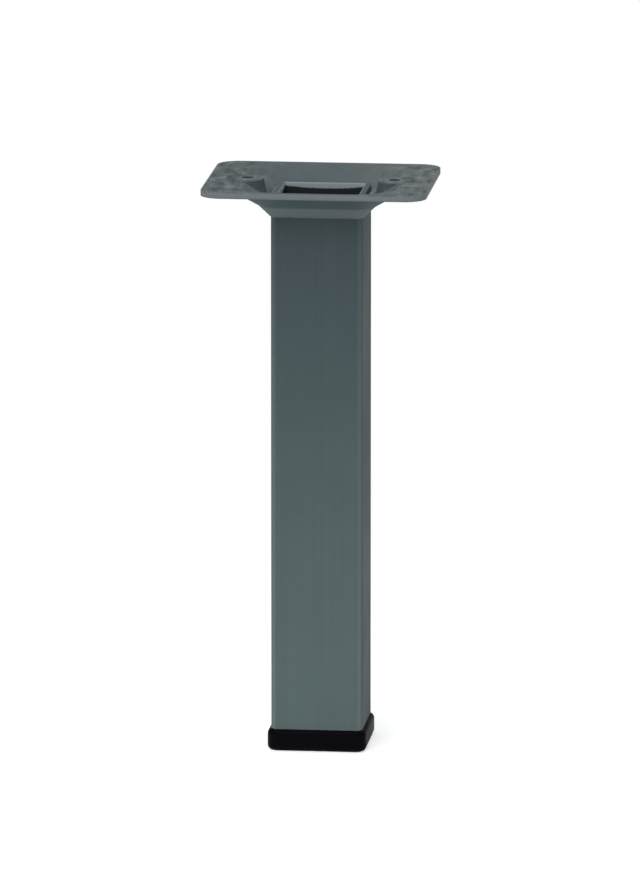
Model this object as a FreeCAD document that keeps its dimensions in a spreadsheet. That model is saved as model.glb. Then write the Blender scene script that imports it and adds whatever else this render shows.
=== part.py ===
import FreeCAD, Part
import math
import os
import Sketcher

# Square steel table leg: a square tube on a plastic foot, welded into a dished mounting plate.
# Millimetres. The origin is the centre of the foot's underside and +Z runs up the leg.

doc = FreeCAD.newDocument("TableLeg")
vector = FreeCAD.Vector
UP = vector(0, 0, 1)
QUARTER = math.pi / 2
X_AXIS_LINE = -1
Y_AXIS_LINE = -2
ORIGIN_POINT = (-1, 1)
SAME_HEIGHT = 0.001

# Sizes of the leg, one row each: name, value, what it is
SIZES = [
    ("leg_height", "156", "floor to mounting face"),
    ("tube_side", "25", "outside of the square tube"),
    ("tube_wall", "1.5", "wall of the square tube"),
    ("tube_corner_radius", "2", "outside corner of the square tube"),
    ("tube_rise", "3.6", "end of the tube above the foot of the weld"),
    ("plate_width", "61", "mounting plate along X"),
    ("plate_depth", "51", "mounting plate along Y"),
    ("plate_thickness", "1.5", "sheet of the mounting plate"),
    ("plate_corner_radius", "6", "corner of the mounting plate"),
    ("flange_margin", "2.7", "corner of the dish inside the front edge of the plate"),
    ("dish_slope", "30", "fall of the dish in degrees"),
    ("dish_bend_radius", "4", "bend at the edge of the dish, on the underside"),
    ("collar_slope", "44", "fall of the collar in degrees"),
    ("collar_bend_radius", "3", "bend from dish to collar, on the underside"),
    ("collar_reach", "3.44", "bend from dish to collar outside the face of the tube"),
    ("collar_clearance", "0.1", "gap between the collar and the tube"),
    ("seat_offset", "7.5", "centre of a screw seat outside the face of the tube"),
    ("seat_clearance", "0.25", "gap between a screw seat and the weld"),
    ("seat_draft", "12", "draft of a screw seat's wall in degrees"),
    ("seat_wall", "1", "wall of a screw seat"),
    ("screw_hole_diameter", "3.2", "clearance hole for a wood screw"),
    ("weld_width", "1.8", "reach of the weld up the collar"),
    ("weld_step", "1.3", "top of the weld below the end of the tube"),
    ("weld_crown_radius", "2.2", "rounding of the weld's face"),
    ("cap_height", "6", "foot below the end of the tube"),
    ("cap_overhang", "1", "foot outside the face of the tube"),
    ("cap_corner_radius", "3", "upright corner of the foot"),
    ("cap_edge_radius", "1.5", "rounded top and bottom edges of the foot"),
    ("plug_height", "16", "plug of the foot inside the tube"),
    ("plug_gap", "0.8", "plug to the bore of the tube"),
    ("plug_corner_radius", "1.5", "corner of the plug"),
    ("plug_wall", "2.5", "wall of the hollow plug"),
    ("plug_floor", "3", "floor of the hollow plug above the foot"),
    ("fin_height", "1.2", "thickness of one gripping fin"),
    ("fin_start", "3", "first fin above the foot"),
    ("fin_pitch", "4.5", "between two fins"),
    ("fin_count", "3", "gripping fins on the plug"),
]

# Sizes that follow from the ones above
DERIVED = [
    ("tube_half", "=tube_side / 2"),
    ("bore_side", "=tube_side - 2 * tube_wall"),
    ("bore_corner_radius", "=tube_corner_radius - tube_wall"),
    ("mouth_side", "=tube_side + 2 * collar_clearance"),
    ("mouth_half", "=mouth_side / 2"),
    ("mouth_corner_radius", "=tube_corner_radius + collar_clearance"),
    ("dish_reach", "=(plate_depth - tube_side) / 2 - flange_margin"),
    ("lip_reach", "=dish_reach + dish_bend_radius * tan(dish_slope / 2 * 1 deg)"),
    ("dish_half", "=tube_half + lip_reach"),
    ("dish_side", "=2 * dish_half"),
    ("dish_corner_radius", "=tube_corner_radius + lip_reach"),
    ("underside", "=leg_height - plate_thickness"),
    ("dish_fall", "=(dish_reach - collar_reach) * tan(dish_slope * 1 deg)"),
    ("collar_fall", "=(collar_reach - collar_clearance) * tan(collar_slope * 1 deg)"),
    ("collar_drop", "=plate_thickness + dish_fall + collar_fall"),
    ("collar_foot", "=leg_height - collar_drop"),
    ("collar_bend_outer", "=collar_bend_radius + plate_thickness"),
    ("groove_foot", "=collar_foot + plate_thickness / cos(collar_slope * 1 deg)"),
    ("tube_end", "=groove_foot + tube_rise"),
    ("tube_length", "=tube_end - cap_height"),
    ("weld_top", "=tube_end - weld_step"),
    ("weld_toe", "=groove_foot + weld_width * tan(collar_slope * 1 deg)"),
    ("seat_spacing", "=tube_side + 2 * seat_offset"),
    ("seat_spread", "=tan(seat_draft * 1 deg)"),
    ("seat_base_radius", "=seat_offset - collar_clearance - weld_width - seat_clearance"),
    ("seat_top_radius", "=seat_base_radius - (leg_height - weld_toe) * seat_spread"),
    ("seat_foot_radius", "=seat_top_radius + collar_drop * seat_spread"),
    ("recess_height", "=collar_drop - plate_thickness"),
    ("recess_top_radius", "=seat_top_radius - seat_wall"),
    ("recess_foot_radius", "=recess_top_radius + recess_height * seat_spread"),
    ("cap_side", "=tube_side + 2 * cap_overhang"),
    ("plug_side", "=bore_side - 2 * plug_gap"),
    ("plug_bore_side", "=plug_side - 2 * plug_wall"),
    ("plug_bore_radius", "=plug_corner_radius / 2"),
    ("plug_bore_depth", "=plug_height - plug_floor"),
    ("plug_top", "=cap_height + plug_height"),
    ("fin_root_side", "=plug_side - plug_wall"),
    ("first_fin", "=cap_height + fin_start"),
    ("fin_run", "=fin_pitch * (fin_count - 1)"),
]

sizes = doc.addObject("Spreadsheet::Sheet", "Sizes")
for row, (name, value, meaning) in enumerate(SIZES, 1):
    sizes.set("A%d" % row, name)
    sizes.set("B%d" % row, value)
    sizes.set("C%d" % row, meaning)
    sizes.setAlias("B%d" % row, name)
doc.recompute()
for row, (name, formula) in enumerate(DERIVED, len(SIZES) + 1):
    sizes.set("A%d" % row, name)
    sizes.setAlias("B%d" % row, name)
    sizes.set("B%d" % row, formula)
    doc.recompute()


def size(name):
    return float(getattr(sizes, name))


def bind(thing, field, name):
    thing.setExpression(field, "Sizes." + name)


def new_body(name):
    return doc.addObject("PartDesign::Body", name)


def new_sketch(body, name, role, height=None):
    sketch = body.newObject("Sketcher::SketchObject", name)
    plane = [item for item in body.Origin.OriginFeatures if item.Role == role][0]
    sketch.AttachmentSupport = [(plane, "")]
    sketch.MapMode = "FlatFace"
    if height:
        bind(sketch, "AttachmentOffset.Base.z", height)
    return sketch


def fix(sketch, *parts):
    return sketch.addConstraint(Sketcher.Constraint(*parts))


def drive(sketch, label, name, *parts):
    index = sketch.addConstraint(Sketcher.Constraint(*parts, size(name)))
    sketch.renameConstraint(index, label)
    bind(sketch, "Constraints." + label, name)


def drive_angle(sketch, label, name, line):
    index = sketch.addConstraint(Sketcher.Constraint("Angle", line, math.radians(size(name))))
    sketch.renameConstraint(index, label)
    sketch.setExpression("Constraints." + label, "Sizes.%s * 1 deg" % name)


def line(start, end):
    return Part.LineSegment(vector(*start, 0), vector(*end, 0))


def arc(centre, radius, start, end):
    return Part.ArcOfCircle(Part.Circle(vector(*centre, 0), UP, radius), start, end)


# Outlines

def rounded_rectangle(sketch, label, width, depth, radius):
    """A centred rectangle with four equal rounded corners."""
    half_x = size(width) / 2
    half_y = size(depth) / 2
    bend = size(radius)
    in_x = half_x - bend
    in_y = half_y - bend
    front, front_right, right, back_right, back, back_left, left, front_left = sketch.addGeometry([
        line((-in_x, -half_y), (in_x, -half_y)),
        arc((in_x, -in_y), bend, -QUARTER, 0),
        line((half_x, -in_y), (half_x, in_y)),
        arc((in_x, in_y), bend, 0, QUARTER),
        line((in_x, half_y), (-in_x, half_y)),
        arc((-in_x, in_y), bend, QUARTER, 2 * QUARTER),
        line((-half_x, in_y), (-half_x, -in_y)),
        arc((-in_x, -in_y), bend, 2 * QUARTER, 3 * QUARTER),
    ], False)
    ring = [front, front_right, right, back_right, back, back_left, left, front_left]
    for this, following in zip(ring, ring[1:] + ring[:1]):
        fix(sketch, "Tangent", this, 2, following, 1)
    fix(sketch, "Symmetric", front, 1, front, 2, Y_AXIS_LINE)
    fix(sketch, "Symmetric", right, 1, right, 2, X_AXIS_LINE)
    fix(sketch, "Horizontal", back)
    fix(sketch, "Vertical", left)
    for corner in (back_right, back_left, front_left):
        fix(sketch, "Equal", front_right, corner)
    drive(sketch, label + "_width", width, "DistanceX", left, 1, right, 1)
    drive(sketch, label + "_depth", depth, "DistanceY", front, 1, back, 1)
    drive(sketch, label + "_radius", radius, "Radius", front_right)


def tube_outline(body, name, height):
    sketch = new_sketch(body, name, "XY_Plane", height)
    rounded_rectangle(sketch, "tube", "tube_side", "tube_side", "tube_corner_radius")
    return sketch


def place(sketch, label, x_name, z_name, element, end):
    drive(sketch, label + "_x", x_name, "DistanceX", *ORIGIN_POINT, element, end)
    drive(sketch, label + "_z", z_name, "DistanceY", *ORIGIN_POINT, element, end)


class Bends:
    """Where one face of the dished sheet runs, from the lip down to the collar's foot."""

    def __init__(self, lip_radius, collar_radius, foot):
        slope = math.radians(size("dish_slope"))
        steep = math.radians(size("collar_slope"))
        bend_low = size("underside") - size("dish_bend_radius")
        self.slope_turn = QUARTER + slope
        self.steep_turn = QUARTER + steep
        self.lip_centre = (size("dish_half"), bend_low)
        self.lip_radius = lip_radius
        self.collar_radius = collar_radius
        self.foot = (size("mouth_half"), foot)
        self.lip_end = self.point(self.lip_centre, lip_radius, self.slope_turn)
        self.collar_centre = self.find_collar_centre(slope, steep)
        self.collar_start = self.point(self.collar_centre, collar_radius, self.slope_turn)
        self.collar_end = self.point(self.collar_centre, collar_radius, self.steep_turn)

    def point(self, centre, radius, turn):
        return (centre[0] + radius * math.cos(turn), centre[1] + radius * math.sin(turn))

    def find_collar_centre(self, slope, steep):
        dish_inset = self.lip_end[1] - self.lip_end[0] * math.tan(slope)
        dish_inset -= self.collar_radius / math.cos(slope)
        collar_inset = self.foot[1] - self.foot[0] * math.tan(steep)
        collar_inset -= self.collar_radius / math.cos(steep)
        x = (dish_inset - collar_inset) / (math.tan(steep) - math.tan(slope))
        return (x, dish_inset + x * math.tan(slope))


def sheet_face(sketch, bends):
    """Lip bend, dish, collar bend and collar of one face of the sheet."""
    lip, dish, turn, collar = sketch.addGeometry([
        arc(bends.lip_centre, bends.lip_radius, QUARTER, bends.slope_turn),
        line(bends.collar_start, bends.lip_end),
        arc(bends.collar_centre, bends.collar_radius, bends.slope_turn, bends.steep_turn),
        line(bends.foot, bends.collar_end),
    ], False)
    fix(sketch, "Tangent", dish, 2, lip, 2)
    fix(sketch, "Tangent", dish, 1, turn, 1)
    fix(sketch, "Tangent", collar, 2, turn, 2)
    return lip, dish, turn, collar


def underside_face(sketch):
    bends = Bends(size("dish_bend_radius"), size("collar_bend_radius"), size("collar_foot"))
    lip, dish, turn, collar = sheet_face(sketch, bends)
    drive(sketch, "lip_bend", "dish_bend_radius", "Radius", lip)
    drive(sketch, "collar_bend", "collar_bend_radius", "Radius", turn)
    drive_angle(sketch, "dish_fall", "dish_slope", dish)
    drive_angle(sketch, "collar_fall", "collar_slope", collar)
    place(sketch, "collar_foot", "mouth_half", "collar_foot", collar, 1)
    return lip, dish, turn, collar, bends


def sheet_section(sketch):
    """The pressed sheet from the lip of the dish to the foot of the collar."""
    lip, _, turn, collar, bends = underside_face(sketch)
    thickness = size("plate_thickness")
    top = Bends(bends.lip_radius + thickness, size("collar_bend_outer"), size("groove_foot"))
    top_lip, _, top_turn, top_collar = sheet_face(sketch, top)
    lip_x = size("dish_half")
    edge, foot = sketch.addGeometry([
        line((lip_x, size("leg_height")), (lip_x, size("underside"))),
        line(bends.foot, top.foot),
    ], False)
    fix(sketch, "Coincident", edge, 2, lip, 1)
    fix(sketch, "Coincident", edge, 1, top_lip, 1)
    fix(sketch, "Coincident", foot, 1, collar, 1)
    fix(sketch, "Coincident", foot, 2, top_collar, 1)
    fix(sketch, "Vertical", edge)
    fix(sketch, "Vertical", foot)
    fix(sketch, "PointOnObject", lip, 3, edge)
    fix(sketch, "Coincident", lip, 3, top_lip, 3)
    fix(sketch, "Coincident", turn, 3, top_turn, 3)
    fix(sketch, "Parallel", collar, top_collar)
    drive(sketch, "top_collar_bend", "collar_bend_outer", "Radius", top_turn)
    drive(sketch, "sheet", "plate_thickness", "DistanceY", edge, 2, edge, 1)
    place(sketch, "lip", "dish_half", "leg_height", edge, 1)


def blank_section(sketch):
    """The space between the underside of the sheet and the mounting face."""
    lip, _, _, collar, bends = underside_face(sketch)
    lip_x = size("dish_half")
    mouth_x = size("mouth_half")
    height = size("leg_height")
    edge, face, side = sketch.addGeometry([
        line((lip_x, height), (lip_x, size("underside"))),
        line((mouth_x, height), (lip_x, height)),
        line(bends.foot, (mouth_x, height)),
    ], False)
    fix(sketch, "Coincident", edge, 2, lip, 1)
    fix(sketch, "Coincident", face, 2, edge, 1)
    fix(sketch, "Coincident", side, 2, face, 1)
    fix(sketch, "Coincident", side, 1, collar, 1)
    fix(sketch, "Vertical", edge)
    fix(sketch, "Horizontal", face)
    fix(sketch, "Vertical", side)
    fix(sketch, "PointOnObject", lip, 3, edge)
    drive(sketch, "sheet", "plate_thickness", "DistanceY", edge, 2, edge, 1)
    place(sketch, "lip", "dish_half", "leg_height", edge, 1)


def weld_section(sketch):
    """The weld in the groove between the tube and the collar."""
    tube_x = size("tube_half")
    mouth_x = size("mouth_half")
    groove = size("groove_foot")
    top = size("weld_top")
    reach = size("weld_width")
    toe = (mouth_x + reach, size("weld_toe"))
    crown = size("weld_crown_radius")
    across = vector(toe[0] - tube_x, toe[1] - top, 0)
    middle = vector((toe[0] + tube_x) / 2, (toe[1] + top) / 2, 0)
    drop = math.sqrt(crown ** 2 - (across.Length / 2) ** 2)
    aside = vector(across.y, -across.x, 0).normalize()
    centre = middle + aside * drop
    start = math.atan2(toe[1] - centre.y, toe[0] - centre.x)
    end = math.atan2(top - centre.y, tube_x - centre.x)
    face, foot, collar, bead = sketch.addGeometry([
        line((tube_x, top), (tube_x, groove)),
        line((tube_x, groove), (mouth_x, groove)),
        line((mouth_x, groove), toe),
        arc((centre.x, centre.y), crown, start, end),
    ], False)
    fix(sketch, "Coincident", face, 2, foot, 1)
    fix(sketch, "Coincident", foot, 2, collar, 1)
    fix(sketch, "Coincident", collar, 2, bead, 1)
    fix(sketch, "Coincident", bead, 2, face, 1)
    fix(sketch, "Vertical", face)
    fix(sketch, "Horizontal", foot)
    place(sketch, "weld_top", "tube_half", "weld_top", face, 1)
    place(sketch, "groove", "mouth_half", "groove_foot", collar, 1)
    drive_angle(sketch, "collar_fall", "collar_slope", collar)
    drive(sketch, "reach", "weld_width", "DistanceX", collar, 1, collar, 2)
    drive(sketch, "crown", "weld_crown_radius", "Radius", bead)


def sweep_round_tube(body, name, section):
    """A section carried once round the outline of the tube."""
    path = tube_outline(body, name + "Path", "leg_height")
    profile = new_sketch(body, name + "Section", "XZ_Plane")
    section(profile)
    doc.recompute()
    run = body.newObject("PartDesign::AdditivePipe", name)
    run.Profile = profile
    run.Spine = (path, [])
    doc.recompute()
    return run


def pad(body, name, sketch, length, downward=False):
    block = body.newObject("PartDesign::Pad", name)
    block.Profile = sketch
    block.Reversed = downward
    bind(block, "Length", length)
    doc.recompute()
    return block


def edges_at(feature, *heights):
    """Names of the edges that lie flat at one of these heights."""
    names = []
    for number, edge in enumerate(feature.Shape.Edges, 1):
        box = edge.BoundBox
        flat = box.ZLength < SAME_HEIGHT
        if flat and any(abs(box.ZMin - height) < SAME_HEIGHT for height in heights):
            names.append("Edge%d" % number)
    return names


# Mounting plate: flat flange, dish and collar, with two raised screw seats

sheet = new_body("PressedSheet")
flange_outline = new_sketch(sheet, "FlangeOutline", "XY_Plane", "leg_height")
rounded_rectangle(flange_outline, "plate", "plate_width", "plate_depth", "plate_corner_radius")
rounded_rectangle(flange_outline, "dish", "dish_side", "dish_side", "dish_corner_radius")
pad(sheet, "Flange", flange_outline, "plate_thickness", True)
sweep_round_tube(sheet, "Dish", sheet_section)

blank = new_body("SeatBlank")
sweep_round_tube(blank, "Blank", blank_section)


def seat_cone(name, side, top_radius, foot_radius, height):
    cone = doc.addObject("Part::Cone", name)
    bind(cone, "Radius1", foot_radius)
    bind(cone, "Radius2", top_radius)
    bind(cone, "Height", height)
    cone.setExpression("Placement.Base.x", "%d * Sizes.seat_spacing / 2" % side)
    bind(cone, "Placement.Base.z", "collar_foot")
    return cone


def screw_hole(name, side):
    hole = doc.addObject("Part::Cylinder", name)
    hole.setExpression("Radius", "Sizes.screw_hole_diameter / 2")
    bind(hole, "Height", "collar_drop")
    hole.setExpression("Placement.Base.x", "%d * Sizes.seat_spacing / 2" % side)
    bind(hole, "Placement.Base.z", "collar_foot")
    return hole


def combine(kind, name, pieces):
    result = doc.addObject(kind, name)
    result.Shapes = pieces
    result.Refine = True
    return result


def take_away(name, base, tool):
    result = doc.addObject("Part::Cut", name)
    result.Base = base
    result.Tool = tool
    result.Refine = True
    return result


SIDES = (("Left", -1), ("Right", 1))
seats = [seat_cone(word + "Seat", way, "seat_top_radius", "seat_foot_radius", "collar_drop")
         for word, way in SIDES]
recesses = [seat_cone(word + "Recess", way, "recess_top_radius", "recess_foot_radius", "recess_height")
            for word, way in SIDES]
holes = [screw_hole(word + "ScrewHole", way) for word, way in SIDES]
both_seats = combine("Part::MultiFuse", "BothSeats", seats)
raised_seats = combine("Part::MultiCommon", "RaisedSeats", [both_seats, blank])
seated_sheet = combine("Part::MultiFuse", "SeatedSheet", [sheet, raised_seats])
openings = combine("Part::MultiFuse", "SeatOpenings", recesses + holes)
mounting_plate = take_away("MountingPlate", seated_sheet, openings)
mounting_plate.Label = "mounting_plate"
doc.recompute()

# Square tube

leg_tube = new_body("LegTube")
leg_tube.Label = "leg_tube"
tube_section = tube_outline(leg_tube, "TubeSection", "cap_height")
rounded_rectangle(tube_section, "bore", "bore_side", "bore_side", "bore_corner_radius")
pad(leg_tube, "Tube", tube_section, "tube_length")

# Weld in the groove between the tube and the collar

weld_bead = new_body("WeldBead")
weld_bead.Label = "weld_bead"
sweep_round_tube(weld_bead, "Bead", weld_section)

# Plastic foot: rounded block under the tube, hollow plug inside it with gripping fins

foot_cap = new_body("FootCap")
foot_cap.Label = "foot_cap"
foot_outline = new_sketch(foot_cap, "FootOutline", "XY_Plane")
rounded_rectangle(foot_outline, "foot", "cap_side", "cap_side", "cap_corner_radius")
foot_block = pad(foot_cap, "FootBlock", foot_outline, "cap_height")
foot_edges = foot_cap.newObject("PartDesign::Fillet", "FootEdges")
foot_edges.Base = (foot_block, edges_at(foot_block, 0, size("cap_height")))
bind(foot_edges, "Radius", "cap_edge_radius")
doc.recompute()
plug_outline = new_sketch(foot_cap, "PlugOutline", "XY_Plane", "cap_height")
rounded_rectangle(plug_outline, "plug", "plug_side", "plug_side", "plug_corner_radius")
pad(foot_cap, "Plug", plug_outline, "plug_height")
bore_outline = new_sketch(foot_cap, "PlugBoreOutline", "XY_Plane", "plug_top")
rounded_rectangle(bore_outline, "plug_bore", "plug_bore_side", "plug_bore_side", "plug_bore_radius")
plug_bore = foot_cap.newObject("PartDesign::Pocket", "PlugBore")
plug_bore.Profile = bore_outline
bind(plug_bore, "Length", "plug_bore_depth")
doc.recompute()
fin_outline = new_sketch(foot_cap, "FinOutline", "XY_Plane", "first_fin")
rounded_rectangle(fin_outline, "fin", "bore_side", "bore_side", "bore_corner_radius")
rounded_rectangle(fin_outline, "fin_root", "fin_root_side", "fin_root_side", "plug_bore_radius")
fin = pad(foot_cap, "Fin", fin_outline, "fin_height")
fins = foot_cap.newObject("PartDesign::LinearPattern", "Fins")
fins.Originals = [fin]
fins.Direction = (fin_outline, ["N_Axis"])
bind(fins, "Length", "fin_run")
bind(fins, "Occurrences", "fin_count")
foot_cap.Tip = fins
doc.recompute()

# Finished pieces

for item in doc.Objects:
    if "Invalid" in item.State or "Error" in item.State:
        raise RuntimeError("%s did not build: %s" % (item.Name, item.State))

os.makedirs("parts", exist_ok=True)
for piece in (mounting_plate, leg_tube, weld_bead, foot_cap):
    shape = piece.Shape
    if shape.isNull() or not shape.isValid():
        raise RuntimeError("%s has no valid shape" % piece.Label)
    shape.exportStep("parts/%s.step" % piece.Label)
    print(piece.Label, len(shape.Solids), round(shape.Volume, 1), shape.BoundBox)
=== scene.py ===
import math
import bpy
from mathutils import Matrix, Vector


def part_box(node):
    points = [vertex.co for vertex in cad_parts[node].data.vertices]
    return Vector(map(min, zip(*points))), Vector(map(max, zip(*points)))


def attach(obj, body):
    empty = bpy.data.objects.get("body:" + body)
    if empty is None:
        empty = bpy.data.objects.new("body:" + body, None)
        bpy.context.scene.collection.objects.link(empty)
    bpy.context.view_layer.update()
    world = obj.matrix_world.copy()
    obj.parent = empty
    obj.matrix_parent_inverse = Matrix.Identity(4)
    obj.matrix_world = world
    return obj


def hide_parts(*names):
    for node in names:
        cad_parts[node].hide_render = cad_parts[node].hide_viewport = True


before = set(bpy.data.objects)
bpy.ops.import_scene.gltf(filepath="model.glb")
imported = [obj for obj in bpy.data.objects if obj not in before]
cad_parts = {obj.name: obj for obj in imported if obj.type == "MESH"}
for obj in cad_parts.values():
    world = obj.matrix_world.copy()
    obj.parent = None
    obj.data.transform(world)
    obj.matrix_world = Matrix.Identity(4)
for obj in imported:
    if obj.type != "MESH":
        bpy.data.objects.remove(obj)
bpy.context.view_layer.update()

# Square steel table leg: grey satin paint, a rippled weld in the dish and a black plastic foot.
# Lengths are metres in the leg's own frame; the finishes count in millimetres.

MM = 0.001
PER_MM = 1000.0

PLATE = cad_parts["mounting_plate"]
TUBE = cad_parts["leg_tube"]
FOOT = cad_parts["foot_cap"]
plate_low, plate_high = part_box("mounting_plate")
tube_low, tube_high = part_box("leg_tube")
weld_low, weld_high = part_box("weld_bead")

# Colours
PAINT = (0.088, 0.121, 0.127, 1)
PAINT_SHADE = (0.068, 0.095, 0.102, 1)
PAINT_FLAKE = (0.135, 0.165, 0.168, 1)
PAINT_DUSTY = (0.160, 0.170, 0.170, 1)
PAINT_THIN = (0.270, 0.305, 0.308, 1)
# Dark colour for grime patches on the plate ends and for painted shade round the screw seats
PAINT_GRIME_AND_SHADE = (0.040, 0.048, 0.050, 1)
# Light colour on the tube: rubbed edges, and painted highlights along the corners and just inside the
# open end
TUBE_WEAR_AND_HIGHLIGHT = (0.47, 0.52, 0.52, 1)
BORE_SCALE = (0.029, 0.036, 0.036, 1)
BORE_RUST = (0.046, 0.036, 0.028, 1)
PLASTIC = (0.0016, 0.0017, 0.0028, 1)
PLASTIC_GRAIN = (0.004, 0.004, 0.0055, 1)
PLASTIC_SCUFF = (0.025, 0.025, 0.026, 1)
FLOOR_WHITE = (0.82, 0.82, 0.82, 1)
WHITE = (1, 1, 1, 1)

# Places on the leg where a finish changes, in millimetres
TUBE_SIDE = (tube_high.x - tube_low.x) * PER_MM
TUBE_WALL = 1.5
BORE_HALF = TUBE_SIDE / 2 - TUBE_WALL
TUBE_END = tube_high.z * PER_MM
COLLAR_RISE = 3.2
COLLAR_TOP = plate_low.z * PER_MM + COLLAR_RISE
PLATE_HALF_X = plate_high.x * PER_MM
PLATE_HALF_Y = plate_high.y * PER_MM
SHEAR_BAND = 3.0
HOLE_OFFSET = 20.0
HOLE_RADIUS = 1.6


# Node trees

def add(tree, kind, **settings):
    node = tree.nodes.new(kind)
    for name, value in settings.items():
        setattr(node, name, value)
    return node


def feed(tree, target, source):
    """A link where the source is a socket, otherwise a plain value."""
    if isinstance(source, bpy.types.NodeSocket):
        tree.links.new(source, target)
    else:
        target.default_value = source


def calc(tree, operation, *values):
    node = add(tree, "ShaderNodeMath", operation=operation)
    for socket, value in zip(node.inputs, values):
        feed(tree, socket, value)
    return node.outputs[0]


def times(tree, first, second):
    return calc(tree, "MULTIPLY", first, second)


def either_way(tree, value):
    return calc(tree, "ABSOLUTE", value)


def split(tree, vector):
    parts = add(tree, "ShaderNodeSeparateXYZ")
    feed(tree, parts.inputs[0], vector)
    return parts.outputs


def blend(tree, share, first, second):
    node = add(tree, "ShaderNodeMix", data_type="RGBA")
    feed(tree, node.inputs["Factor"], share)
    for name, colour in (("A_Color", first), ("B_Color", second)):
        feed(tree, next(socket for socket in node.inputs if socket.identifier == name), colour)
    return next(socket for socket in node.outputs if socket.identifier == "Result_Color")


def ramp(tree, value, start, end, low=0.0, high=1.0):
    """A soft climb from low to high while the value goes from start to end."""
    node = add(tree, "ShaderNodeMapRange", interpolation_type="SMOOTHSTEP")
    for name, source in (("Value", value), ("From Min", start), ("From Max", end),
                         ("To Min", low), ("To Max", high)):
        feed(tree, node.inputs[name], source)
    return node.outputs["Result"]


def cloud(tree, place, scale, detail=2.0, roughness=0.5):
    node = add(tree, "ShaderNodeTexNoise")
    feed(tree, node.inputs["Vector"], place)
    feed(tree, node.inputs["Scale"], scale)
    node.inputs["Detail"].default_value = detail
    node.inputs["Roughness"].default_value = roughness
    return node.outputs["Fac"]


def stretched(tree, place, along):
    node = add(tree, "ShaderNodeVectorMath", operation="MULTIPLY")
    feed(tree, node.inputs[0], place)
    node.inputs[1].default_value = along
    return node.outputs[0]


def effect_group(name, inputs, outputs):
    group = bpy.data.node_groups.new(name, "ShaderNodeTree")
    for label, kind, value in inputs:
        socket = group.interface.new_socket(label, in_out="INPUT", socket_type=kind)
        if value is not None:
            socket.default_value = value
    for label, kind in outputs:
        group.interface.new_socket(label, in_out="OUTPUT", socket_type=kind)
    return group, add(group, "NodeGroupInput").outputs, add(group, "NodeGroupOutput").inputs


def use(tree, group, **values):
    node = add(tree, "ShaderNodeGroup", node_tree=group)
    for name, value in values.items():
        feed(tree, node.inputs[name], value)
    return node.outputs


# Effects that the paint and the plastic share
EDGE_SAMPLES = 6
EDGE_TURN = (0.999, 0.93)
RUB_DETAIL = (4.0, 0.6)
RUB_PATCHES = (0.2, 0.5)
PEEL_DETAIL = (1.5, 0.5)
GRAIN_DETAIL = (2.0, 0.6)
GRAIN_HEIGHT = 0.35
SPECK_LEVELS = (0.5, 0.72)
CLOUD_DETAIL = (3.0, 0.55)
CLOUD_LEVELS = (0.32, 0.68)
UPRIGHT_STROKES = (1, 1, 0.12)
LEVEL_STROKES = (0.2, 1, 1)
STROKE_DETAIL = (5.0, 0.65)
STROKE_FADE = 0.1


def make_rubbed_edge():
    """Edges rounded by a hair, with the finish rubbed thin along them."""
    group, given, out = effect_group("rubbed_edge", [
        ("Place", "NodeSocketVector", None),
        ("Reach", "NodeSocketFloat", 0.4 * MM),
        ("Patch", "NodeSocketFloat", 0.3),
    ], [("Rub", "NodeSocketFloat"), ("Normal", "NodeSocketVector")])
    rounded = add(group, "ShaderNodeBevel", samples=EDGE_SAMPLES)
    feed(group, rounded.inputs["Radius"], given["Reach"])
    surface = add(group, "ShaderNodeNewGeometry")
    facing = add(group, "ShaderNodeVectorMath", operation="DOT_PRODUCT")
    feed(group, facing.inputs[0], rounded.outputs["Normal"])
    feed(group, facing.inputs[1], surface.outputs["Normal"])
    turned = ramp(group, facing.outputs["Value"], *EDGE_TURN)
    patches = ramp(group, cloud(group, given["Place"], given["Patch"], *RUB_DETAIL), *RUB_PATCHES)
    feed(group, out["Rub"], times(group, turned, patches))
    feed(group, out["Normal"], rounded.outputs["Normal"])
    return group


def make_coat_texture():
    """Orange peel, fine grain and slow clouding of a sprayed or moulded skin."""
    group, given, out = effect_group("coat_texture", [
        ("Place", "NodeSocketVector", None),
        ("Peel", "NodeSocketFloat", 0.7),
        ("Grain", "NodeSocketFloat", 4.0),
        ("Cloud", "NodeSocketFloat", 0.08),
    ], [("Height", "NodeSocketFloat"), ("Speck", "NodeSocketFloat"), ("Cloud", "NodeSocketFloat")])
    peel = cloud(group, given["Place"], given["Peel"], *PEEL_DETAIL)
    grain = cloud(group, given["Place"], given["Grain"], *GRAIN_DETAIL)
    slow = cloud(group, given["Place"], given["Cloud"], *CLOUD_DETAIL)
    feed(group, out["Height"], calc(group, "ADD", peel, times(group, grain, GRAIN_HEIGHT)))
    feed(group, out["Speck"], ramp(group, grain, *SPECK_LEVELS))
    feed(group, out["Cloud"], ramp(group, slow, *CLOUD_LEVELS))
    return group


def make_handling_marks():
    """Faint scuffs, upright and level."""
    group, given, out = effect_group("handling_marks", [
        ("Place", "NodeSocketVector", None),
        ("Fineness", "NodeSocketFloat", 0.9),
        ("Cover", "NodeSocketFloat", 0.62),
    ], [("Mark", "NodeSocketFloat")])
    strokes = []
    for direction in (UPRIGHT_STROKES, LEVEL_STROKES):
        drawn_out = stretched(group, given["Place"], direction)
        strokes.append(cloud(group, drawn_out, given["Fineness"], *STROKE_DETAIL))
    full = calc(group, "ADD", given["Cover"], STROKE_FADE)
    feed(group, out["Mark"], ramp(group, calc(group, "MAXIMUM", *strokes), given["Cover"], full))
    return group


RUBBED_EDGE = make_rubbed_edge()
COAT_TEXTURE = make_coat_texture()
HANDLING_MARKS = make_handling_marks()


# Materials

def new_finish(name):
    finish = bpy.data.materials.new(name)
    finish.use_nodes = True
    tree = finish.node_tree
    spot = add(tree, "ShaderNodeTexCoord")
    place = add(tree, "ShaderNodeVectorMath", operation="SCALE")
    feed(tree, place.inputs[0], spot.outputs["Object"])
    place.inputs["Scale"].default_value = PER_MM
    return finish, tree, tree.nodes["Principled BSDF"], place.outputs[0]


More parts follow.
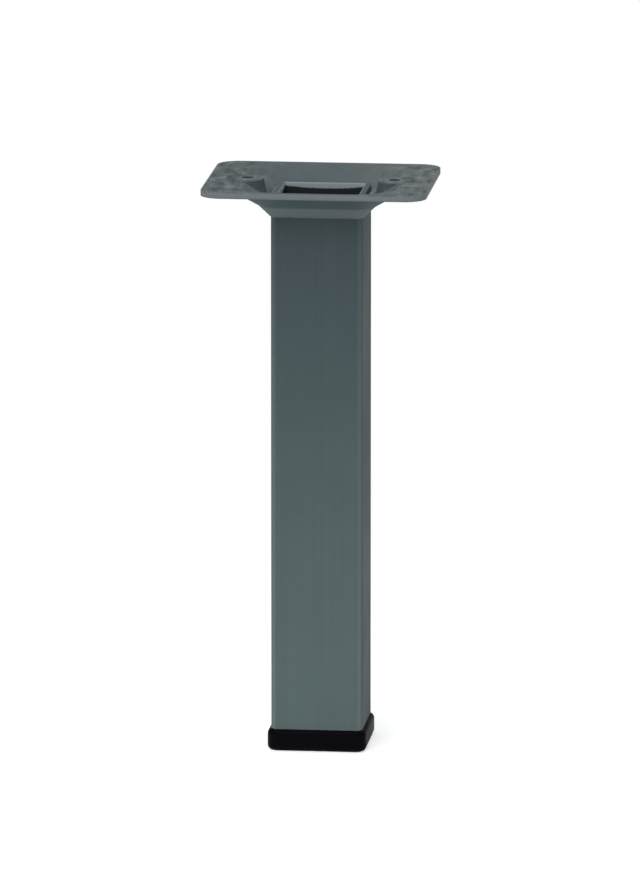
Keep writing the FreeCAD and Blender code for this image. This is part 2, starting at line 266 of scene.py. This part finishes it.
def raise_skin(tree, shader, height, normal, depth, strength):
    bump = add(tree, "ShaderNodeBump")
    bump.inputs["Strength"].default_value = strength
    bump.inputs["Distance"].default_value = depth
    feed(tree, bump.inputs["Height"], height)
    feed(tree, bump.inputs["Normal"], normal)
    feed(tree, shader.inputs["Normal"], bump.outputs["Normal"])


def surface_tilt(tree):
    """1 on a surface that faces up, -1 on one that faces down."""
    surface = add(tree, "ShaderNodeNewGeometry")
    return split(tree, surface.outputs["Normal"])["Z"]


# Where the paint is thin or missing, and where highlights and shade are painted in; fades in
# millimetres, shares of the thin colour
SHEAR_FADE = (-0.5, 0.5)
SHEAR_TILT = (0.6, 0.3)
SHEAR_SHARE = 0.74
COLLAR_FADE = (0.5, -0.6)
COLLAR_SHARE = 0.42
# Painted highlight along the tube's rounded corners
CORNER_HIGHLIGHT_FADE = (-0.2, 0.8)
CORNER_HIGHLIGHT_SHARE = 0.12
# Screw-hole walls, darkened as painted shade inside the holes
HOLE_SHADE_FADE = (0.2, 0.05)
HOLE_SHADE_SHARE = 0.65
HOLE_RING_FADE = (1.5, 0.7)
HOLE_RING_SHARE = 0.22
CREST_CLOUD = (0.8, 3.0, 0.6)
CREST_LEVELS = (0.35, 0.65)
CREST_SHARE = 0.6
BORE_SKIN = (0.12, 0.04)
# Painted highlight inside the open end of the tube: its depth, bow and ragged lower edge
LIT_BAND_DEPTH = 1.8
LIT_BAND_BOW = 0.6
LIT_BAND_RAG = 0.4
LIT_BAND_RAG_CLOUD = (0.9, 3.0)
LIT_BAND_FADE = (-0.25, 0.15)


def beyond(border, fade):
    return [border + step for step in fade]


def sheared_edge(tree, place):
    """Upright cut edge of the plate, given a lighter colour."""
    spot = split(tree, place)
    past = [calc(tree, "SUBTRACT", either_way(tree, spot[axis]), half - SHEAR_BAND)
            for axis, half in (("X", PLATE_HALF_X), ("Y", PLATE_HALF_Y))]
    outside = ramp(tree, calc(tree, "MAXIMUM", *past), *SHEAR_FADE)
    upright = ramp(tree, either_way(tree, surface_tilt(tree)), *SHEAR_TILT)
    return times(tree, times(tree, outside, upright), SHEAR_SHARE)


def pressed_collar(tree, place):
    """Collar under the dish, given a lighter colour."""
    below = ramp(tree, split(tree, place)["Z"], *beyond(COLLAR_TOP, COLLAR_FADE))
    return times(tree, below, COLLAR_SHARE)


def painted_corner_highlight(tree, place):
    """Painted highlight along the rounded corners of the tube."""
    spot = split(tree, place)
    least = calc(tree, "MINIMUM", either_way(tree, spot["X"]), either_way(tree, spot["Y"]))
    return times(tree, ramp(tree, least, *beyond(BORE_HALF, CORNER_HIGHLIGHT_FADE)), CORNER_HIGHLIGHT_SHARE)


def from_hole(tree, place):
    """Distance from the middle of the nearer screw hole."""
    spot = split(tree, place)
    off_x = calc(tree, "SUBTRACT", either_way(tree, spot["X"]), HOLE_OFFSET)
    square = calc(tree, "ADD", calc(tree, "POWER", off_x, 2.0), calc(tree, "POWER", spot["Y"], 2.0))
    return calc(tree, "SQRT", square)


def shaded_hole_wall(tree, place):
    """Partly unpainted wall of the two screw holes, darkened as painted shade inside them."""
    inside = ramp(tree, from_hole(tree, place), *beyond(HOLE_RADIUS, HOLE_SHADE_FADE))
    return times(tree, inside, HOLE_SHADE_SHARE)


def hole_ring(tree, place):
    """Ring round each screw hole, rubbed by the screw."""
    close_by = ramp(tree, from_hole(tree, place), *beyond(HOLE_RADIUS, HOLE_RING_FADE))
    return times(tree, close_by, HOLE_RING_SHARE)


def weld_crests(tree, place):
    """Patches of the weld that the spray hardly reached."""
    return times(tree, ramp(tree, cloud(tree, place, *CREST_CLOUD), *CREST_LEVELS), CREST_SHARE)


def bore_and_lit_band(tree, place):
    """Whether a spot is inside the tube, and how far above the ragged lower end of the painted light
    band.
    """
    spot = split(tree, place)
    across = [either_way(tree, spot[axis]) for axis in ("X", "Y")]
    within = ramp(tree, calc(tree, "MAXIMUM", *across), *beyond(BORE_HALF, BORE_SKIN))
    off_middle = calc(tree, "DIVIDE", calc(tree, "MINIMUM", *across), BORE_HALF)
    bow = times(tree, calc(tree, "POWER", off_middle, 2.0), LIT_BAND_BOW)
    ragged = times(tree, cloud(tree, place, *LIT_BAND_RAG_CLOUD), LIT_BAND_RAG)
    end = calc(tree, "ADD", TUBE_END - LIT_BAND_DEPTH, calc(tree, "ADD", bow, ragged))
    return within, calc(tree, "SUBTRACT", spot["Z"], end)


def bare_bore(tree, place):
    """Unpainted steel inside the tube, below the painted light band."""
    within, above = bore_and_lit_band(tree, place)
    return times(tree, within, ramp(tree, above, *reversed(LIT_BAND_FADE)))


def lit_band_in_open_end(tree, place):
    """Painted highlight: a light band on the wall just inside the open end of the tube."""
    within, above = bore_and_lit_band(tree, place)
    return times(tree, within, ramp(tree, above, *LIT_BAND_FADE))


# Effects that the painted pieces share
DUST_CLOUD = (0.1, 5.0, 0.65)
DUST_LEVELS = (0.3, 0.66, 0.35, 0.9)
DUST_LEFT_TO_RIGHT = (0.8, 1.25)
DUST_MIDDLE = (6, 14, 0.6, 1)
DUST_TILT = (-0.3, 0.5)
DUST_SHARE = 0.75
RUST_CLOUD = (0.25, 5.0, 0.6)
RUST_LEVELS = (0.5, 0.7)


def make_settled_dust():
    """Dust on the surfaces that face up, thinner in the middle."""
    group, given, out = effect_group("settled_dust", [
        ("Place", "NodeSocketVector", None),
        ("Mark", "NodeSocketFloat", 0.0),
        ("Share", "NodeSocketFloat", DUST_SHARE),
    ], [("Dust", "NodeSocketFloat")])
    across = split(group, given["Place"])["X"]
    dust = ramp(group, cloud(group, given["Place"], *DUST_CLOUD), *DUST_LEVELS)
    dust = times(group, dust, ramp(group, across, -PLATE_HALF_X, PLATE_HALF_X, *DUST_LEFT_TO_RIGHT))
    dust = times(group, dust, ramp(group, either_way(group, across), *DUST_MIDDLE))
    dust = calc(group, "MAXIMUM", dust, given["Mark"])
    dust = times(group, dust, ramp(group, surface_tilt(group), *DUST_TILT))
    feed(group, out["Dust"], times(group, dust, given["Share"]))
    return group


def make_bare_steel():
    """Dark mill scale with patches of rust."""
    group, given, out = effect_group("bare_steel", [
        ("Place", "NodeSocketVector", None),
        ("Mill", "NodeSocketColor", BORE_SCALE),
        ("Rust", "NodeSocketColor", BORE_RUST),
    ], [("Colour", "NodeSocketColor")])
    rusty = ramp(group, cloud(group, given["Place"], *RUST_CLOUD), *RUST_LEVELS)
    feed(group, out["Colour"], blend(group, rusty, given["Mill"], given["Rust"]))
    return group


SETTLED_DUST = make_settled_dust()
BARE_STEEL = make_bare_steel()


# Satin paint
STREAK_STRETCH = (1, 1, 0.01)
STREAK_CLOUD = (1.1, 3.0)
STREAK_LEVELS = (0.35, 0.7)
STREAK_SHARE = 0.25
FLAKE_SHARE = 0.35
# Painted shade round the base of each screw seat
SEAT_SHADE_RING = (2.4, 3.1)
SEAT_SHADE_RING_END = (4.6, 3.6)
SEAT_SHADE_RING_SHARE = 0.5
MOTTLE_STRETCH = (1, 0.5, 1)
MOTTLE_CLOUD = (0.36, 4.0, 0.6)
MOTTLE_ENDS = (10, 25)
GRIME_LEVELS = (0.48, 0.36)
GRIME_SHARE = 0.55
CHALK_LEVELS = (0.52, 0.64)
CHALK_SHARE = 0.42
BARE_ROUGHNESS = 0.75
PAINT_ROUGHNESS = (0.66, 0.58)
MARK_ROUGHNESS = 0.09
PAINT_SPECULAR = 0.08
PEEL_DEPTH = 0.02 * MM
PEEL_STRENGTH = 0.6


def drawn_streaks(tree, place):
    """Faint lines along the tube, left by the drawing mill."""
    lines = cloud(tree, stretched(tree, place, STREAK_STRETCH), *STREAK_CLOUD)
    return times(tree, ramp(tree, lines, *STREAK_LEVELS), STREAK_SHARE)


def mottled_ends(tree, place):
    """Grime and chalky patches on the ends of the plate, with painted shade round the screw seats."""
    ends = ramp(tree, either_way(tree, split(tree, place)["X"]), *MOTTLE_ENDS)
    ends = times(tree, ends, ramp(tree, surface_tilt(tree), *DUST_TILT))
    patches = cloud(tree, stretched(tree, place, MOTTLE_STRETCH), *MOTTLE_CLOUD)
    off_hole = from_hole(tree, place)
    seat_shade = times(tree, ramp(tree, off_hole, *beyond(HOLE_RADIUS, SEAT_SHADE_RING)),
                 ramp(tree, off_hole, *beyond(HOLE_RADIUS, SEAT_SHADE_RING_END)))
    grime_and_shade = calc(tree, "MAXIMUM", times(tree, ramp(tree, patches, *GRIME_LEVELS), GRIME_SHARE),
                 times(tree, seat_shade, SEAT_SHADE_RING_SHARE))
    chalk = times(tree, ramp(tree, patches, *CHALK_LEVELS), CHALK_SHARE)
    return times(tree, ends, grime_and_shade), times(tree, ends, chalk)


# The edge masks blend in a lighter colour for rubbed or thin paint, and on the tube for painted
# highlights; the last mask blends in bare steel, which in the screw holes is also painted shade
def satin_paint(name, cloud_scale, cloud_share, rub_share, thin_and_lit=(), thin_and_lit_colour=PAINT_THIN,
                streaky=False, dusty=False, mottled=False, bare_and_shaded=None):
    finish, tree, shader, place = new_finish(name)
    skin = use(tree, COAT_TEXTURE, Place=place, Peel=0.55, Grain=3.2, Cloud=cloud_scale)
    edge = use(tree, RUBBED_EDGE, Place=place, Reach=0.8 * MM, Patch=0.35)
    marks = use(tree, HANDLING_MARKS, Place=place, Fineness=0.8, Cover=0.66)
    colour = blend(tree, times(tree, skin["Cloud"], cloud_share), PAINT, PAINT_SHADE)
    if streaky:
        colour = blend(tree, drawn_streaks(tree, place), colour, PAINT_SHADE)
    colour = blend(tree, times(tree, skin["Speck"], FLAKE_SHARE), colour, PAINT_FLAKE)
    if dusty:
        dust = use(tree, SETTLED_DUST, Place=place, Mark=marks["Mark"], Share=DUST_SHARE)
        colour = blend(tree, dust["Dust"], colour, PAINT_DUSTY)
    if mottled:
        grime_and_shade, chalk = mottled_ends(tree, place)
        colour = blend(tree, grime_and_shade, blend(tree, chalk, colour, PAINT_THIN), PAINT_GRIME_AND_SHADE)
    worn_and_lit = times(tree, edge["Rub"], rub_share)
    for find_thin_and_lit in thin_and_lit:
        worn_and_lit = calc(tree, "MAXIMUM", worn_and_lit, find_thin_and_lit(tree, place))
    colour = blend(tree, worn_and_lit, colour, thin_and_lit_colour)
    rough = ramp(tree, skin["Cloud"], 0, 1, *PAINT_ROUGHNESS)
    rough = calc(tree, "ADD", rough, times(tree, marks["Mark"], MARK_ROUGHNESS))
    # Bare steel inside the tube; in the screw holes the same dark colour is painted shade
    if bare_and_shaded:
        bare_and_shade_share = bare_and_shaded(tree, place)
        steel = use(tree, BARE_STEEL, Place=place, Mill=BORE_SCALE, Rust=BORE_RUST)
        colour = blend(tree, bare_and_shade_share, colour, steel["Colour"])
        rough = calc(tree, "MAXIMUM", rough, times(tree, bare_and_shade_share, BARE_ROUGHNESS))
    feed(tree, shader.inputs["Base Color"], colour)
    feed(tree, shader.inputs["Roughness"], rough)
    shader.inputs["Specular IOR Level"].default_value = PAINT_SPECULAR
    raise_skin(tree, shader, skin["Height"], edge["Normal"], PEEL_DEPTH, PEEL_STRENGTH)
    return finish


# Moulded plastic
SCUFF_HEIGHT = 1.6
EDGE_SCUFF = 0.25
FLOOR_SCUFF = 0.6
PLASTIC_ROUGHNESS = (0.44, 0.54)
SCUFF_ROUGHNESS = 0.2
PLASTIC_SPECULAR = 0.03
MOULD_GRAIN_DEPTH = 0.03 * MM
MOULD_GRAIN_STRENGTH = 0.7


def moulded_plastic(name):
    finish, tree, shader, place = new_finish(name)
    skin = use(tree, COAT_TEXTURE, Place=place, Peel=2.2, Grain=6.5, Cloud=0.1)
    edge = use(tree, RUBBED_EDGE, Place=place, Reach=0.3 * MM, Patch=0.5)
    marks = use(tree, HANDLING_MARKS, Place=place, Fineness=1.2, Cover=0.6)
    near_floor = ramp(tree, split(tree, place)["Z"], SCUFF_HEIGHT, 0)
    scuffed = times(tree, near_floor, marks["Mark"])
    colour = blend(tree, skin["Speck"], PLASTIC, PLASTIC_GRAIN)
    colour = blend(tree, times(tree, edge["Rub"], EDGE_SCUFF), colour, PLASTIC_SCUFF)
    colour = blend(tree, times(tree, scuffed, FLOOR_SCUFF), colour, PLASTIC_SCUFF)
    rough = ramp(tree, skin["Cloud"], 0, 1, *PLASTIC_ROUGHNESS)
    rough = calc(tree, "ADD", rough, times(tree, scuffed, SCUFF_ROUGHNESS))
    feed(tree, shader.inputs["Base Color"], colour)
    feed(tree, shader.inputs["Roughness"], rough)
    shader.inputs["Specular IOR Level"].default_value = PLASTIC_SPECULAR
    raise_skin(tree, shader, skin["Height"], edge["Normal"], MOULD_GRAIN_DEPTH, MOULD_GRAIN_STRENGTH)
    return finish


# On the plate the screw-hole walls are darkened as painted shade
plate_paint = satin_paint("grey_paint_plate", cloud_scale=0.11, cloud_share=0.5, rub_share=0.75,
                          thin_and_lit=(sheared_edge, pressed_collar, hole_ring), dusty=True, mottled=True,
                          bare_and_shaded=shaded_hole_wall)
# The tube's light colour is painted highlight along the corners and inside the open end, and edge rub
tube_paint = satin_paint("grey_paint_tube", cloud_scale=0.05, cloud_share=0.25, rub_share=0.12,
                         thin_and_lit=(lit_band_in_open_end, painted_corner_highlight), thin_and_lit_colour=TUBE_WEAR_AND_HIGHLIGHT, streaky=True,
                         bare_and_shaded=bare_bore)
weld_paint = satin_paint("grey_paint_weld", cloud_scale=0.3, cloud_share=0.6, rub_share=0.5,
                         thin_and_lit=(weld_crests,), dusty=True)
foot_plastic = moulded_plastic("black_foot_plastic")

for piece, finish in ((PLATE, plate_paint), (TUBE, tube_paint), (FOOT, foot_plastic)):
    for slot in piece.material_slots:
        slot.material = finish


# Weld bead: ripples that follow the tube round the bottom of the dish
CORNER_STEPS = 8
STEPS_PER_RIPPLE = 9.0
SECTION_ROUNDING = 0.35 * MM
SECTION_ROUNDING_STEPS = 4
SECTION_POINTS = 26
ARC_MIDDLE = 0.45
ARC_DEPTH = 2.2
POOL_SCALE = 0.35 * PER_MM
POOL_MIDDLE = 0.5
POOL_DRIFT = 1.4
POOL_HIGH = 0.62
RIPPLE_CURVE = 1.6


def weld_path(tree, given):
    """The tube's outline in short steps, and the run along it."""
    square = add(tree, "GeometryNodeCurvePrimitiveQuadrilateral", mode="RECTANGLE")
    feed(tree, square.inputs["Width"], given["Tube Side"])
    feed(tree, square.inputs["Height"], given["Tube Side"])
    rounded = add(tree, "GeometryNodeFilletCurve", mode="POLY")
    feed(tree, rounded.inputs["Curve"], square.outputs[0])
    feed(tree, rounded.inputs["Radius"], given["Corner Radius"])
    feed(tree, rounded.inputs["Count"], CORNER_STEPS)
    steps = add(tree, "GeometryNodeResampleCurve", mode="LENGTH")
    feed(tree, steps.inputs["Curve"], rounded.outputs[0])
    feed(tree, steps.inputs["Length"], calc(tree, "DIVIDE", given["Ripple Pitch"], STEPS_PER_RIPPLE))
    upright = add(tree, "GeometryNodeSetCurveNormal", mode="Z_UP")
    feed(tree, upright.inputs[0], steps.outputs[0])
    along = add(tree, "GeometryNodeCaptureAttribute", domain="POINT")
    along.capture_items.new("FLOAT", "Along")
    feed(tree, along.inputs["Geometry"], upright.outputs[0])
    feed(tree, along.inputs["Along"], add(tree, "GeometryNodeSplineParameter").outputs["Length"])
    return along.outputs["Geometry"], along.outputs["Along"]


def weld_section(tree, given):
    """The bead cut across: foot and top on the tube, crown, and toe on the plate."""
    section = add(tree, "GeometryNodeCurvePrimitiveQuadrilateral", mode="POINTS")
    corners = ((0.0, 0.0), (0.0, given["Bead Rise"]), (given["Crown Reach"], given["Crown Rise"]),
               (given["Toe Reach"], given["Toe Rise"]))
    for number, (reach, rise) in enumerate(corners, 1):
        corner = add(tree, "ShaderNodeCombineXYZ")
        feed(tree, corner.inputs["X"], reach)
        feed(tree, corner.inputs["Y"], times(tree, rise, -1.0))
        feed(tree, section.inputs["Point %d" % number], corner.outputs[0])
    soft = add(tree, "GeometryNodeFilletCurve", mode="POLY")
    feed(tree, soft.inputs["Curve"], section.outputs[0])
    feed(tree, soft.inputs["Count"], SECTION_ROUNDING_STEPS)
    feed(tree, soft.inputs["Radius"], SECTION_ROUNDING)
    feed(tree, soft.inputs["Limit Radius"], True)
    fine = add(tree, "GeometryNodeResampleCurve", mode="COUNT")
    feed(tree, fine.inputs["Curve"], soft.outputs[0])
    feed(tree, fine.inputs["Count"], SECTION_POINTS)
    return fine.outputs[0]


def ripple_push(tree, given, along):
    """Curved ripples and an uneven pool on the face of the bead, as a shift of each point."""
    place = add(tree, "GeometryNodeInputPosition").outputs[0]
    spot = split(tree, place)
    outward = calc(tree, "MAXIMUM", either_way(tree, spot["X"]), either_way(tree, spot["Y"]))
    reach = calc(tree, "SUBTRACT", outward, calc(tree, "DIVIDE", given["Tube Side"], 2.0))
    off_arc = calc(tree, "SUBTRACT", calc(tree, "DIVIDE", reach, given["Toe Reach"]), ARC_MIDDLE)
    arc = times(tree, calc(tree, "POWER", off_arc, 2.0), ARC_DEPTH)
    pool = add(tree, "ShaderNodeTexNoise", noise_dimensions="4D")
    feed(tree, pool.inputs["Vector"], place)
    feed(tree, pool.inputs["W"], given["Seed"])
    feed(tree, pool.inputs["Scale"], POOL_SCALE)
    drift = times(tree, calc(tree, "SUBTRACT", pool.outputs["Fac"], POOL_MIDDLE), POOL_DRIFT)
    count = calc(tree, "DIVIDE", along, given["Ripple Pitch"])
    turns = calc(tree, "ADD", count, calc(tree, "ADD", arc, drift))
    ridge = calc(tree, "SUBTRACT", calc(tree, "POWER", calc(tree, "FRACT", turns), RIPPLE_CURVE), 1.0)
    normal = add(tree, "GeometryNodeInputNormal").outputs[0]
    face = calc(tree, "MAXIMUM", split(tree, normal)["Z"], 0.0)
    lift = times(tree, times(tree, ridge, given["Ripple Depth"]), face)
    below = calc(tree, "SUBTRACT", pool.outputs["Fac"], POOL_HIGH)
    uneven = times(tree, times(tree, below, given["Wander"]), face)
    push = add(tree, "ShaderNodeVectorMath", operation="SCALE")
    feed(tree, push.inputs[0], normal)
    feed(tree, push.inputs["Scale"], calc(tree, "ADD", lift, uneven))
    return push.outputs[0]


def weld_ripple_tree():
    tree = bpy.data.node_groups.new("weld_ripples", "GeometryNodeTree")
    for name in ("Tube Side", "Corner Radius", "Bead Foot", "Bead Rise", "Toe Reach", "Toe Rise",
                 "Crown Reach", "Crown Rise", "Ripple Pitch", "Ripple Depth", "Wander", "Seed"):
        tree.interface.new_socket(name, in_out="INPUT", socket_type="NodeSocketFloat")
    tree.interface.new_socket("Finish", in_out="INPUT", socket_type="NodeSocketMaterial")
    tree.interface.new_socket("Bead", in_out="OUTPUT", socket_type="NodeSocketGeometry")
    given = add(tree, "NodeGroupInput").outputs
    path, along = weld_path(tree, given)
    sweep = add(tree, "GeometryNodeCurveToMesh")
    feed(tree, sweep.inputs["Curve"], path)
    feed(tree, sweep.inputs["Profile Curve"], weld_section(tree, given))
    ripple = add(tree, "GeometryNodeSetPosition")
    feed(tree, ripple.inputs["Geometry"], sweep.outputs[0])
    feed(tree, ripple.inputs["Offset"], ripple_push(tree, given, along))
    height = add(tree, "ShaderNodeCombineXYZ")
    feed(tree, height.inputs["Z"], given["Bead Foot"])
    raised = add(tree, "GeometryNodeTransform")
    feed(tree, raised.inputs["Geometry"], ripple.outputs[0])
    feed(tree, raised.inputs["Translation"], height.outputs[0])
    smooth = add(tree, "GeometryNodeSetShadeSmooth")
    feed(tree, smooth.inputs[0], raised.outputs[0])
    real = add(tree, "GeometryNodeRealizeInstances")
    feed(tree, real.inputs[0], smooth.outputs[0])
    coat = add(tree, "GeometryNodeSetMaterial")
    feed(tree, coat.inputs["Geometry"], real.outputs[0])
    feed(tree, coat.inputs["Material"], given["Finish"])
    feed(tree, add(tree, "NodeGroupOutput").inputs["Bead"], coat.outputs[0])
    return tree


def grown_piece(name, tree, **sizes):
    """The plain mesh that a node tree makes from these sizes."""
    maker = bpy.data.objects.new(name + "_maker", bpy.data.meshes.new(name + "_maker"))
    bpy.context.scene.collection.objects.link(maker)
    grow = maker.modifiers.new("grow", "NODES")
    grow.node_group = tree
    for item in tree.interface.items_tree:
        if item.in_out == "INPUT":
            grow[item.identifier] = sizes[item.name.replace(" ", "_").lower()]
    seen = maker.evaluated_get(bpy.context.evaluated_depsgraph_get())
    mesh = bpy.data.meshes.new_from_object(seen)
    mesh.name = name
    piece = bpy.data.objects.new(name, mesh)
    bpy.context.scene.collection.objects.link(piece)
    bpy.data.objects.remove(maker)
    return piece


bead_rise = weld_high.z - weld_low.z
weld = grown_piece(
    "rippled_weld", weld_ripple_tree(),
    tube_side=tube_high.x - tube_low.x, corner_radius=2 * MM,
    bead_foot=weld_low.z, bead_rise=bead_rise - 0.04 * MM,
    toe_reach=weld_high.x - tube_high.x, toe_rise=1.74 * MM,
    crown_reach=1.02 * MM, crown_rise=bead_rise,
    ripple_pitch=1.15 * MM, ripple_depth=0.22 * MM, wander=0.35 * MM, seed=3.7, finish=weld_paint)
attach(weld, "root")
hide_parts("weld_bead")


# Floor: matt white round the foot, plain white farther off
FLOOR_REACH = 6.0
FLOOR_FADE = (0.06, 0.3)
FLOOR_LIFT = 0.56


def white_floor():
    finish = bpy.data.materials.new("white_floor")
    finish.use_nodes = True
    tree = finish.node_tree
    tree.nodes.remove(tree.nodes["Principled BSDF"])
    away = add(tree, "ShaderNodeVectorMath", operation="LENGTH")
    feed(tree, away.inputs[0], add(tree, "ShaderNodeTexCoord").outputs["Object"])
    far = ramp(tree, away.outputs["Value"], *FLOOR_FADE)
    ray = add(tree, "ShaderNodeLightPath").outputs
    seen = calc(tree, "MAXIMUM", ray["Is Camera Ray"], ray["Is Glossy Ray"])
    seen = calc(tree, "MAXIMUM", seen, ray["Is Transmission Ray"])
    matt = add(tree, "ShaderNodeBsdfDiffuse")
    matt.inputs["Color"].default_value = FLOOR_WHITE
    lift = add(tree, "ShaderNodeEmission")
    lift.inputs["Color"].default_value = WHITE
    feed(tree, lift.inputs["Strength"], times(tree, seen, FLOOR_LIFT))
    near = add(tree, "ShaderNodeAddShader")
    feed(tree, near.inputs[0], matt.outputs[0])
    feed(tree, near.inputs[1], lift.outputs[0])
    plain = add(tree, "ShaderNodeEmission")
    plain.inputs["Color"].default_value = WHITE
    both = add(tree, "ShaderNodeMixShader")
    feed(tree, both.inputs[0], times(tree, far, seen))
    tree.links.new(near.outputs[0], both.inputs[1])
    tree.links.new(plain.outputs[0], both.inputs[2])
    tree.links.new(both.outputs[0], tree.nodes["Material Output"].inputs["Surface"])
    return finish


def studio_floor():
    corners = [(x * FLOOR_REACH, y * FLOOR_REACH, 0) for x, y in ((-1, -1), (1, -1), (1, 1), (-1, 1))]
    mesh = bpy.data.meshes.new("studio_floor")
    mesh.from_pydata(corners, [], [(0, 1, 2, 3)])
    mesh.materials.append(white_floor())
    floor = bpy.data.objects.new("studio_floor", mesh)
    bpy.context.scene.collection.objects.link(floor)


# Light
ROOM_COLOUR = (0.97, 1.0, 1.0, 1)
ROOM_STRENGTH = 0.3
FILL_TINT = (1.0, 0.98, 0.84)
FRONT_TINT = (0.93, 0.955, 1.1)
NO_TINT = (1, 1, 1)


def soft_lamp(name, place, aim, width, height, watts, tint=NO_TINT, spread=180, gloss=True):
    lamp = bpy.data.lights.new(name, "AREA")
    lamp.color = tint
    lamp.shape = "RECTANGLE"
    lamp.size = width
    lamp.size_y = height
    lamp.energy = watts
    lamp.spread = math.radians(spread)
    holder = bpy.data.objects.new(name, lamp)
    holder.location = place
    holder.rotation_euler = (Vector(aim) - Vector(place)).to_track_quat("-Z", "Y").to_euler()
    holder.visible_camera = False
    holder.visible_glossy = gloss
    bpy.context.scene.collection.objects.link(holder)


def studio_light():
    world = bpy.data.worlds.new("soft_room")
    world.use_nodes = True
    room = world.node_tree.nodes["Background"]
    room.inputs["Color"].default_value = ROOM_COLOUR
    room.inputs["Strength"].default_value = ROOM_STRENGTH
    bpy.context.scene.world = world
    soft_lamp("low_front_fill", place=(-0.05, -0.36, 0.02), aim=(0, 0, 0), width=0.25, height=0.03,
              watts=0.066, tint=FILL_TINT, spread=50, gloss=False)
    soft_lamp("front_softbox", place=(-0.16, -0.9, 0.92), aim=(0, 0, 0.14), width=0.45, height=0.45,
              watts=3.1, tint=FRONT_TINT)
    soft_lamp("back_softbox", place=(0.55, 0.8, 0.75), aim=(0, 0, 0.1), width=0.5, height=0.5, watts=1.4)
    soft_lamp("overhead_softbox", place=(-0.15, -0.15, 1.1), aim=(0, 0, 0.15), width=0.8, height=0.8,
              watts=5.0)


# Camera: where the photograph was taken from, measured in its 640 by 884 pixels
IMAGE_WIDTH = 640
IMAGE_HEIGHT = 884
CAMERA_AZIMUTH = math.radians(6.079)
CAMERA_ELEVATION = math.radians(11.512)
CAMERA_DISTANCE = 3.0
PIXELS_PER_METRE = 3681.0
LEG_MIDDLE = Vector((0, 0, 0.078))
MIDDLE_PIXEL = (321.15, 461.4)
SENSOR_WIDTH = 36
NEAREST = 0.05
FARTHEST = 30


def photo_camera():
    back = Vector((math.sin(CAMERA_AZIMUTH) * math.cos(CAMERA_ELEVATION),
                   -math.cos(CAMERA_AZIMUTH) * math.cos(CAMERA_ELEVATION),
                   math.sin(CAMERA_ELEVATION)))
    right = Vector((math.cos(CAMERA_AZIMUTH), math.sin(CAMERA_AZIMUTH), 0))
    up = back.cross(right)
    aside = (IMAGE_WIDTH / 2 - MIDDLE_PIXEL[0]) / PIXELS_PER_METRE
    above = (MIDDLE_PIXEL[1] - IMAGE_HEIGHT / 2) / PIXELS_PER_METRE
    aim = LEG_MIDDLE + right * aside + up * above
    lens = bpy.data.cameras.new("photo_camera")
    lens.sensor_width = SENSOR_WIDTH
    lens.lens = PIXELS_PER_METRE * CAMERA_DISTANCE * SENSOR_WIDTH / IMAGE_HEIGHT
    lens.clip_start = NEAREST
    lens.clip_end = FARTHEST
    camera = bpy.data.objects.new("photo_camera", lens)
    camera.location = LEG_MIDDLE + back * CAMERA_DISTANCE
    camera.rotation_euler = (aim - camera.location).to_track_quat("-Z", "Y").to_euler()
    bpy.context.scene.collection.objects.link(camera)
    bpy.context.scene.camera = camera


studio_floor()
studio_light()
photo_camera()
bpy.context.scene.view_settings.view_transform = "Standard"
